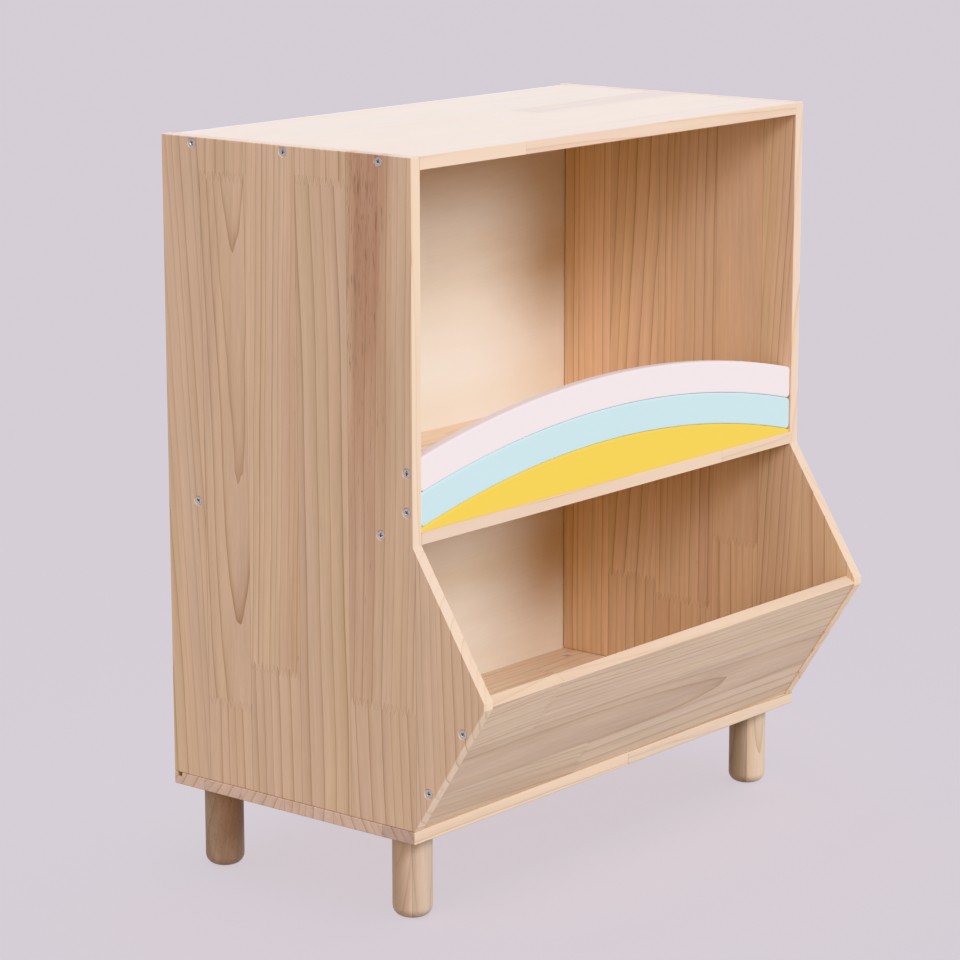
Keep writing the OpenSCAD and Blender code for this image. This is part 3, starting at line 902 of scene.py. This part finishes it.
def fit_level_board(node, holes=()):
    """Makes the top board or the shelf, which butt between the sides."""
    low, high = BOX[node]
    sizes = bpy.context.scene.cabinet_sizes

    def share(middle, direction):
        in_front = middle.y < FRONT_Y + NEAR and runs_across(direction)
        return 1.0 if in_front else sizes.seam_ease / sizes.arris

    fit_board(
        node, rectangle(low, high), (low.x, high.x), share,
        Grain(X_AXIS, Y_AXIS, *WOOD[node]), holes)


class CABINET_OT_side_panels(bpy.types.Operator):
    """Make the two side panels with their noses, grooves and screw holes"""
    bl_idname = "cabinet.side_panels"
    bl_label = "Side panels"

    def execute(self, context):
        fit_side("left_side_panel", -1)
        fit_side("right_side_panel", 1)
        return {"FINISHED"}


class CABINET_OT_level_boards(bpy.types.Operator):
    """Make the top board and the middle shelf"""
    bl_idname = "cabinet.level_boards"
    bl_label = "Top board and shelf"

    def execute(self, context):
        fit_level_board("top_board")
        fit_level_board("middle_shelf", screw_rows()["inner_segment_screws"])
        return {"FINISHED"}


class CABINET_OT_bottom_board(bpy.types.Operator):
    """Make the bottom board, whose ends show below the side panels"""
    bl_idname = "cabinet.bottom_board"
    bl_label = "Bottom board"

    def execute(self, context):
        rows = screw_rows()
        bed = FLOOR_Z - context.scene.cabinet_sizes.groove_depth
        outline = [
            (FRONT_Y, UNDER_Z), (BACK_Y, UNDER_Z), (BACK_Y, FLOOR_Z), (GROOVE_BACK, FLOOR_Z),
            (GROOVE_BACK, bed), (GROOVE_Y, bed), (GROOVE_Y, FLOOR_Z), (FRONT_Y, FLOOR_Z),
        ]

        def share(middle, direction):
            at_groove = GROOVE_Y - NEAR < middle.y < GROOVE_BACK + NEAR
            return 0.0 if at_groove and middle.z > UNDER_Z + NEAR else 1.0

        fit_board(
            "bottom_board", outline, (-HALF_W, HALF_W), share,
            Grain(X_AXIS, Y_AXIS, *WOOD["bottom_board"]),
            rows["bottom_board_screws"] + rows["leg_screws"])
        return {"FINISHED"}


class CABINET_OT_back_panel(bpy.types.Operator):
    """Make the three-ply back panel"""
    bl_idname = "cabinet.back_panel"
    bl_label = "Back panel"

    def execute(self, context):
        sizes = context.scene.cabinet_sizes
        low, high = BOX["back_panel"]
        bm = prism(rectangle(low, high), low.x, high.x)
        bm = rounded_and_cut(soften(bm, lambda middle, direction: PLY_EASE), sizes.arris)
        ply = (high.y - low.y) / 3
        for glue in (low.y + ply, high.y - ply):
            cut_faces(bm, bm.faces[:], Y_AXIS * glue, Y_AXIS)
        mark_grain(bm, Grain(X_AXIS, Z_AXIS, seed=6), sizes, context.scene.wood_looks.seed)
        # Plywood has no staves. The second value of their mark says which faces show its core.
        mark = bm.loops.layers.float_vector["stave"]
        for face in bm.faces:
            core = low.y + ply < face.calc_center_median().y < high.y - ply
            for loop in face.loops:
                loop[mark] = (0, 1 if core else 0, 1)
        fit_piece("back_panel_plywood", bm, "back_panel", "poplar_plywood_sanded")
        return {"FINISHED"}


class CABINET_OT_bin_front(bpy.types.Operator):
    """Make the sloping front of the bin"""
    bl_idname = "cabinet.bin_front"
    bl_label = "Bin front"

    def execute(self, context):
        sizes = context.scene.cabinet_sizes
        up, inward, length = slope(sizes)
        foot = Vector((0, FRONT_Y, FLOOR_Z))
        outer = foot + inward * sizes.bin_inset
        inner = outer + inward * BOARD
        top = up * (length + sizes.bin_over)
        outline = [
            (point.y, point.z) for point in (
                outer + up * ((SIDE_Z - outer.z) / up.z), outer + top,
                inner + top, inner + up * ((SIDE_Z - inner.z) / up.z))
        ]

        def share(middle, direction):
            if runs_across(direction):
                return 1.0 if middle.z > (SIDE_Z + (outer + top).z) / 2 else 0.0
            return sizes.seam_ease / sizes.arris

        seams, *rest = WOOD["bin_front_panel"]
        grain = Grain(X_AXIS, up, [foot.dot(up) + way for way in seams], *rest)
        fit_board("bin_front_panel", outline, (-BUTT_HALF, BUTT_HALF), share, grain)
        return {"FINISHED"}


def rounded_stack(outline, sizes):
    """A flat bar from closed outlines at a set-back: round long edges, and fronts of neat quads.

    outline(set_back) gives the upper and the lower path from left to right, as (x, z) points.
    """
    low, high = BOX["rainbow_outer_arc"][0].y, BOX["rainbow_outer_arc"][1].y
    radius, turn = sizes.paint_round, quarter(ROUND_STEPS)
    layers = [(radius * (1 - sine), low + radius * (1 - cosine)) for sine, cosine in turn]
    layers += [(radius * (1 - sine), high - radius * (1 - cosine)) for sine, cosine in turn[::-1]]
    bm = bmesh.new()
    loops = []
    for set_back, y in layers:
        loops.append([[bm.verts.new((x, y, z)) for x, z in path] for path in outline(set_back)])
    for near, far in zip(loops, loops[1:]):
        ring, next_ring = near[0] + near[1][::-1], far[0] + far[1][::-1]
        for i in range(len(ring)):
            j = (i + 1) % len(ring)
            bm.faces.new((ring[i], ring[j], next_ring[j], next_ring[i]))
    for upper, lower in (loops[0], loops[-1]):
        for i in range(len(upper) - 1):
            bm.faces.new((upper[i], upper[i + 1], lower[i + 1], lower[i]))
    bmesh.ops.recalc_face_normals(bm, faces=bm.faces)
    return bm


def fit_band(node, outer, centre, sizes, finish):
    """Makes a curved band of the rainbow, cut square and rounded at both ends."""
    inner = outer - sizes.band_width + sizes.band_gap
    corner_x = BUTT_HALF - sizes.band_corner

    def outline(set_back):
        paths = []
        turn = sizes.band_corner - set_back
        for radius, sign in ((outer - set_back, 1), (inner + set_back, -1)):
            middle = radius - sign * turn
            corner_z = arc_height(centre, middle, corner_x)
            lean = math.acos(corner_x / middle) - (0 if sign > 0 else math.pi)
            angles = [lean * i / CORNER_STEPS for i in range(CORNER_STEPS + 1)]
            end = [(corner_x + turn * math.cos(a), corner_z + turn * math.sin(a)) for a in angles]
            along = [end[-1][0] * (1 - i / ARC_STEPS) for i in range(1, 2 * ARC_STEPS)]
            arc = [(x, arc_height(centre, radius, x)) for x in along]
            paths.append([(-x, z) for x, z in end] + arc[::-1] + end[::-1])
        return paths

    fit_piece(node + "_painted", rounded_stack(outline, sizes), node, finish, sharp=50)


class CABINET_OT_rainbow_bands(bpy.types.Operator):
    """Make the two curved bands of the rainbow"""
    bl_idname = "cabinet.rainbow_bands"
    bl_label = "Rainbow bands"

    def execute(self, context):
        sizes = context.scene.cabinet_sizes
        centre, *_, middle_r, outer_r = rainbow_arcs(sizes)
        fit_band("rainbow_outer_arc", outer_r, centre, sizes, "satin_enamel_pink")
        fit_band("rainbow_middle_arc", middle_r, centre, sizes, "satin_enamel_cyan")
        return {"FINISHED"}


class CABINET_OT_rainbow_segment(bpy.types.Operator):
    """Make the flat-bottomed inner piece of the rainbow"""
    bl_idname = "cabinet.rainbow_segment"
    bl_label = "Rainbow inner piece"

    def execute(self, context):
        sizes = context.scene.cabinet_sizes
        centre, radius, *_ = rainbow_arcs(sizes)
        base = BOX["rainbow_inner_segment"][0].z

        def outline(set_back):
            half = BUTT_HALF - set_back
            across = [half * (i / SEGMENT_STEPS - 1) for i in range(2 * SEGMENT_STEPS + 1)]
            top = [(x, arc_height(centre, radius - set_back, x)) for x in across]
            return top, [(x, base) for x in across]

        fit_piece(
            "rainbow_inner_segment_painted", rounded_stack(outline, sizes),
            "rainbow_inner_segment", "satin_enamel_yellow", sharp=50)
        return {"FINISHED"}


class CABINET_OT_legs(bpy.types.Operator):
    """Turn the four legs, each glued up from two halves"""
    bl_idname = "cabinet.legs"
    bl_label = "Legs"

    def execute(self, context):
        sizes = context.scene.cabinet_sizes
        radius, foot, bevel = sizes.leg_radius, sizes.leg_foot, sizes.leg_bevel
        for seed, (node, (degrees, *logs)) in enumerate(LEG_WOOD.items(), LEG_SEED):
            low, high = (corner.z for corner in BOX[node])
            shaft = high - low - foot - bevel
            profile = [(0, low)]
            profile += [
                (radius - foot * (1 - sine), low + foot * (1 - cosine))
                for sine, cosine in quarter(FOOT_STEPS)]
            profile += [
                (radius, low + foot + shaft * i / SHAFT_STEPS)
                for i in range(1, SHAFT_STEPS + 1)]
            profile += [
                (radius - bevel * (1 - cosine), high - bevel * (1 - sine))
                for sine, cosine in quarter(BEVEL_STEPS)[1:]]
            profile.append((0, high))
            middle = Vector((*leg_middle(node), 0))
            bm = turned(profile, LEG_STEPS, None, Matrix.Translation(middle))
            angle = math.radians(degrees)
            across = Vector((math.cos(angle), math.sin(angle), 0))
            halves = [((), log) for log in logs]
            grain = Grain(Z_AXIS, across, [across.dot(middle)], halves, seed)
            cut_staves(bm, grain, sizes)
            mark_grain(bm, grain, sizes, context.scene.wood_looks.seed)
            fit_piece(node + "_turned", bm, node, "pine_turned_sealed")
        return {"FINISHED"}


def screw_shape(length, screws):
    """A countersunk screw along Z from its head's top, with a tapered cross recess."""
    rim, shank = screws.head_radius, screws.shank_radius
    profile = [
        (0, 0), (rim - RIM_EASE[0], 0), (rim, RIM_EASE[1]), (rim, screws.rim),
        (shank, screws.rim + rim - shank), (shank, length - screws.tip), (0, length),
    ]
    arm, span = screws.recess_arm / 2, screws.recess / 2
    waste = bmesh.new()
    loops = []
    for depth, taper in ((-OVER, (1, 1)), (0, (1, 1)), (screws.recess_depth, RECESS_TAPER)):
        reach, half = span * taper[0], arm * taper[1]
        quadrant = [(reach, -half), (reach, half), (half, half)]
        cross = []
        for _ in range(4):
            cross += quadrant
            quadrant = [(-y, x) for x, y in quadrant]
        loops.append([waste.verts.new((x, y, depth)) for x, y in cross])
    for near, far in zip(loops, loops[1:]):
        for i in range(len(near)):
            waste.faces.new((near[i - 1], near[i], far[i], far[i - 1]))
    waste.faces.new(loops[0])
    waste.faces.new(loops[-1])
    bmesh.ops.recalc_face_normals(waste, faces=waste.faces)
    return rounded_and_cut(turned(profile, SCREW_STEPS), cutter=waste)


class CABINET_OT_screws(bpy.types.Operator):
    """Make every row of countersunk screws"""
    bl_idname = "cabinet.screws"
    bl_label = "Screws"

    def execute(self, context):
        screws = context.scene.screw_sizes
        rng = random.Random(context.scene.wood_looks.seed)
        shapes = {}
        for row, places in screw_rows().items():
            bm = bmesh.new()
            for place, direction, length in places:
                if length not in shapes:
                    shapes[length] = bpy.data.meshes.new("screw")
                    shape = screw_shape(length, screws)
                    shape.to_mesh(shapes[length])
                    shape.free()
                start = len(bm.verts)
                bm.from_mesh(shapes[length])
                bm.verts.ensure_lookup_table()
                turn = Matrix.Rotation(rng.uniform(0, math.pi / 2), 4, "Z")
                seat = aimed(place + direction * screws.sunk, direction)
                bmesh.ops.transform(bm, matrix=seat @ turn, verts=bm.verts[start:])
            fit_piece(row + "_zinc", bm, row, "zinc_plated_steel")
        for shape in shapes.values():
            bpy.data.meshes.remove(shape)
        return {"FINISHED"}


class CABINET_OT_stage(bpy.types.Operator):
    """Set up the paper floor, the soft lights and the camera"""
    bl_idname = "cabinet.stage"
    bl_label = "Stage"

    def execute(self, context):
        scene = context.scene
        looks = scene.stage_looks
        bm = bmesh.new()
        bm.faces.new([
            bm.verts.new((x * PAPER_REACH, y * PAPER_REACH, 0))
            for x, y in ((-1, -1), (1, -1), (1, 1), (-1, 1))])
        floor = mesh_object("paper_floor", bm)
        floor.data.materials.append(paper("studio_paper_matt", looks.paper))
        floor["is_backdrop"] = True
        floor.visible_diffuse = False

        world = bpy.data.worlds.new("studio_air")
        world.use_nodes = True
        world.node_tree.nodes.clear()
        air = add(world.node_tree, "Background", {"Color": (*looks.air, 1), "Strength": 1.0})
        add(world.node_tree, "OutputWorld", {"Surface": air})
        scene.world = world

        # The softboxes are flagged off the paper, which has an even light of its own from straight
        # above and throws none back, so that only the room light leaves a soft shadow on it.
        flags = {}
        for state in ("INCLUDE", "EXCLUDE"):
            flags[state] = bpy.data.collections.new("paper_" + state.lower())
            flags[state].objects.link(floor)
            flags[state].collection_objects[0].light_linking.link_state = state
        for name, power, spread, towards, paper_state in (
            ("front_light", looks.front, 24, (-0.30, 0.95, -0.36), "EXCLUDE"),
            ("left_light", looks.left, 24, (0.90, 0.60, -0.40), "EXCLUDE"),
            ("boom_light", looks.boom, 20, (0.15, 1.0, -0.84), "EXCLUDE"),
            ("side_light", looks.side, 50, (1.0, 0.3, -0.45), "EXCLUDE"),
            ("back_light", looks.back, 60, (-0.75, -0.62, -0.30), "EXCLUDE"),
            ("floor_light", looks.floor, 0, (0.0, 0.0, -1.0), "INCLUDE"),
        ):
            lamp = bpy.data.lights.new(name, "SUN")
            lamp.energy, lamp.color, lamp.angle = 1.0, power, math.radians(spread)
            lit = bpy.data.objects.new(name, lamp)
            lit.rotation_euler = Vector(towards).to_track_quat("-Z", "Y").to_euler()
            lit.light_linking.receiver_collection = flags[paper_state]
            lamp.use_shadow = paper_state == "EXCLUDE"
            scene.collection.objects.link(lit)

        lens = bpy.data.cameras.new("camera")
        lens.lens, lens.sensor_width = 127.2, 36.0
        lens.clip_start, lens.clip_end = 0.05, 200.0
        camera = bpy.data.objects.new("camera", lens)
        place = Vector((-2.5102, -1.9975, 1.0466))
        right = Vector((0.63373, -0.77355, -0.00138))
        up = Vector((0.16469, 0.13317, 0.97731))
        turn = Matrix((right, up, right.cross(up))).transposed().to_4x4()
        camera.matrix_world = Matrix.Translation(place) @ turn
        scene.collection.objects.link(camera)
        scene.camera = camera
        # The neutral curve for product pictures keeps the finishes' own colours.
        scene.view_settings.view_transform = "Khronos PBR Neutral"
        return {"FINISHED"}


class CABINET_PT_pieces(bpy.types.Panel):
    """Pieces of the cabinet and their settings"""
    bl_label = "Rainbow storage cabinet"
    bl_space_type = "VIEW_3D"
    bl_region_type = "UI"
    bl_category = "Cabinet"

    def draw(self, context):
        for maker in OPERATORS:
            self.layout.operator(maker.bl_idname)
        for group in SETTINGS:
            box = self.layout.box()
            for name in SETTINGS[group].__annotations__:
                box.prop(getattr(context.scene, group), name)


OPERATORS = (
    CABINET_OT_side_panels, CABINET_OT_level_boards, CABINET_OT_bottom_board, CABINET_OT_back_panel,
    CABINET_OT_bin_front, CABINET_OT_rainbow_bands, CABINET_OT_rainbow_segment, CABINET_OT_legs,
    CABINET_OT_screws, CABINET_OT_stage,
)
SETTINGS = {
    "cabinet_sizes": CabinetSizes, "screw_sizes": ScrewSizes, "wood_looks": WoodLooks,
    "paint_looks": PaintLooks, "stage_looks": StageLooks,
}


def register():
    for kind in (*SETTINGS.values(), *OPERATORS, CABINET_PT_pieces):
        bpy.utils.register_class(kind)
    for name, kind in SETTINGS.items():
        setattr(bpy.types.Scene, name, PointerProperty(type=kind))


def unregister():
    for name in SETTINGS:
        delattr(bpy.types.Scene, name)
    for kind in reversed((*SETTINGS.values(), *OPERATORS, CABINET_PT_pieces)):
        bpy.utils.unregister_class(kind)


def main():
    register()
    for maker in OPERATORS:
        getattr(bpy.ops.cabinet, maker.bl_idname.split(".")[1])()
    boxes = {"cad": CAD_BOX, "visual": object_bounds()}
    ({
        name: [[float(v) for v in corner] for corner in box]
        for name, box in boxes.items()})


if __name__ == "__main__":
    main()
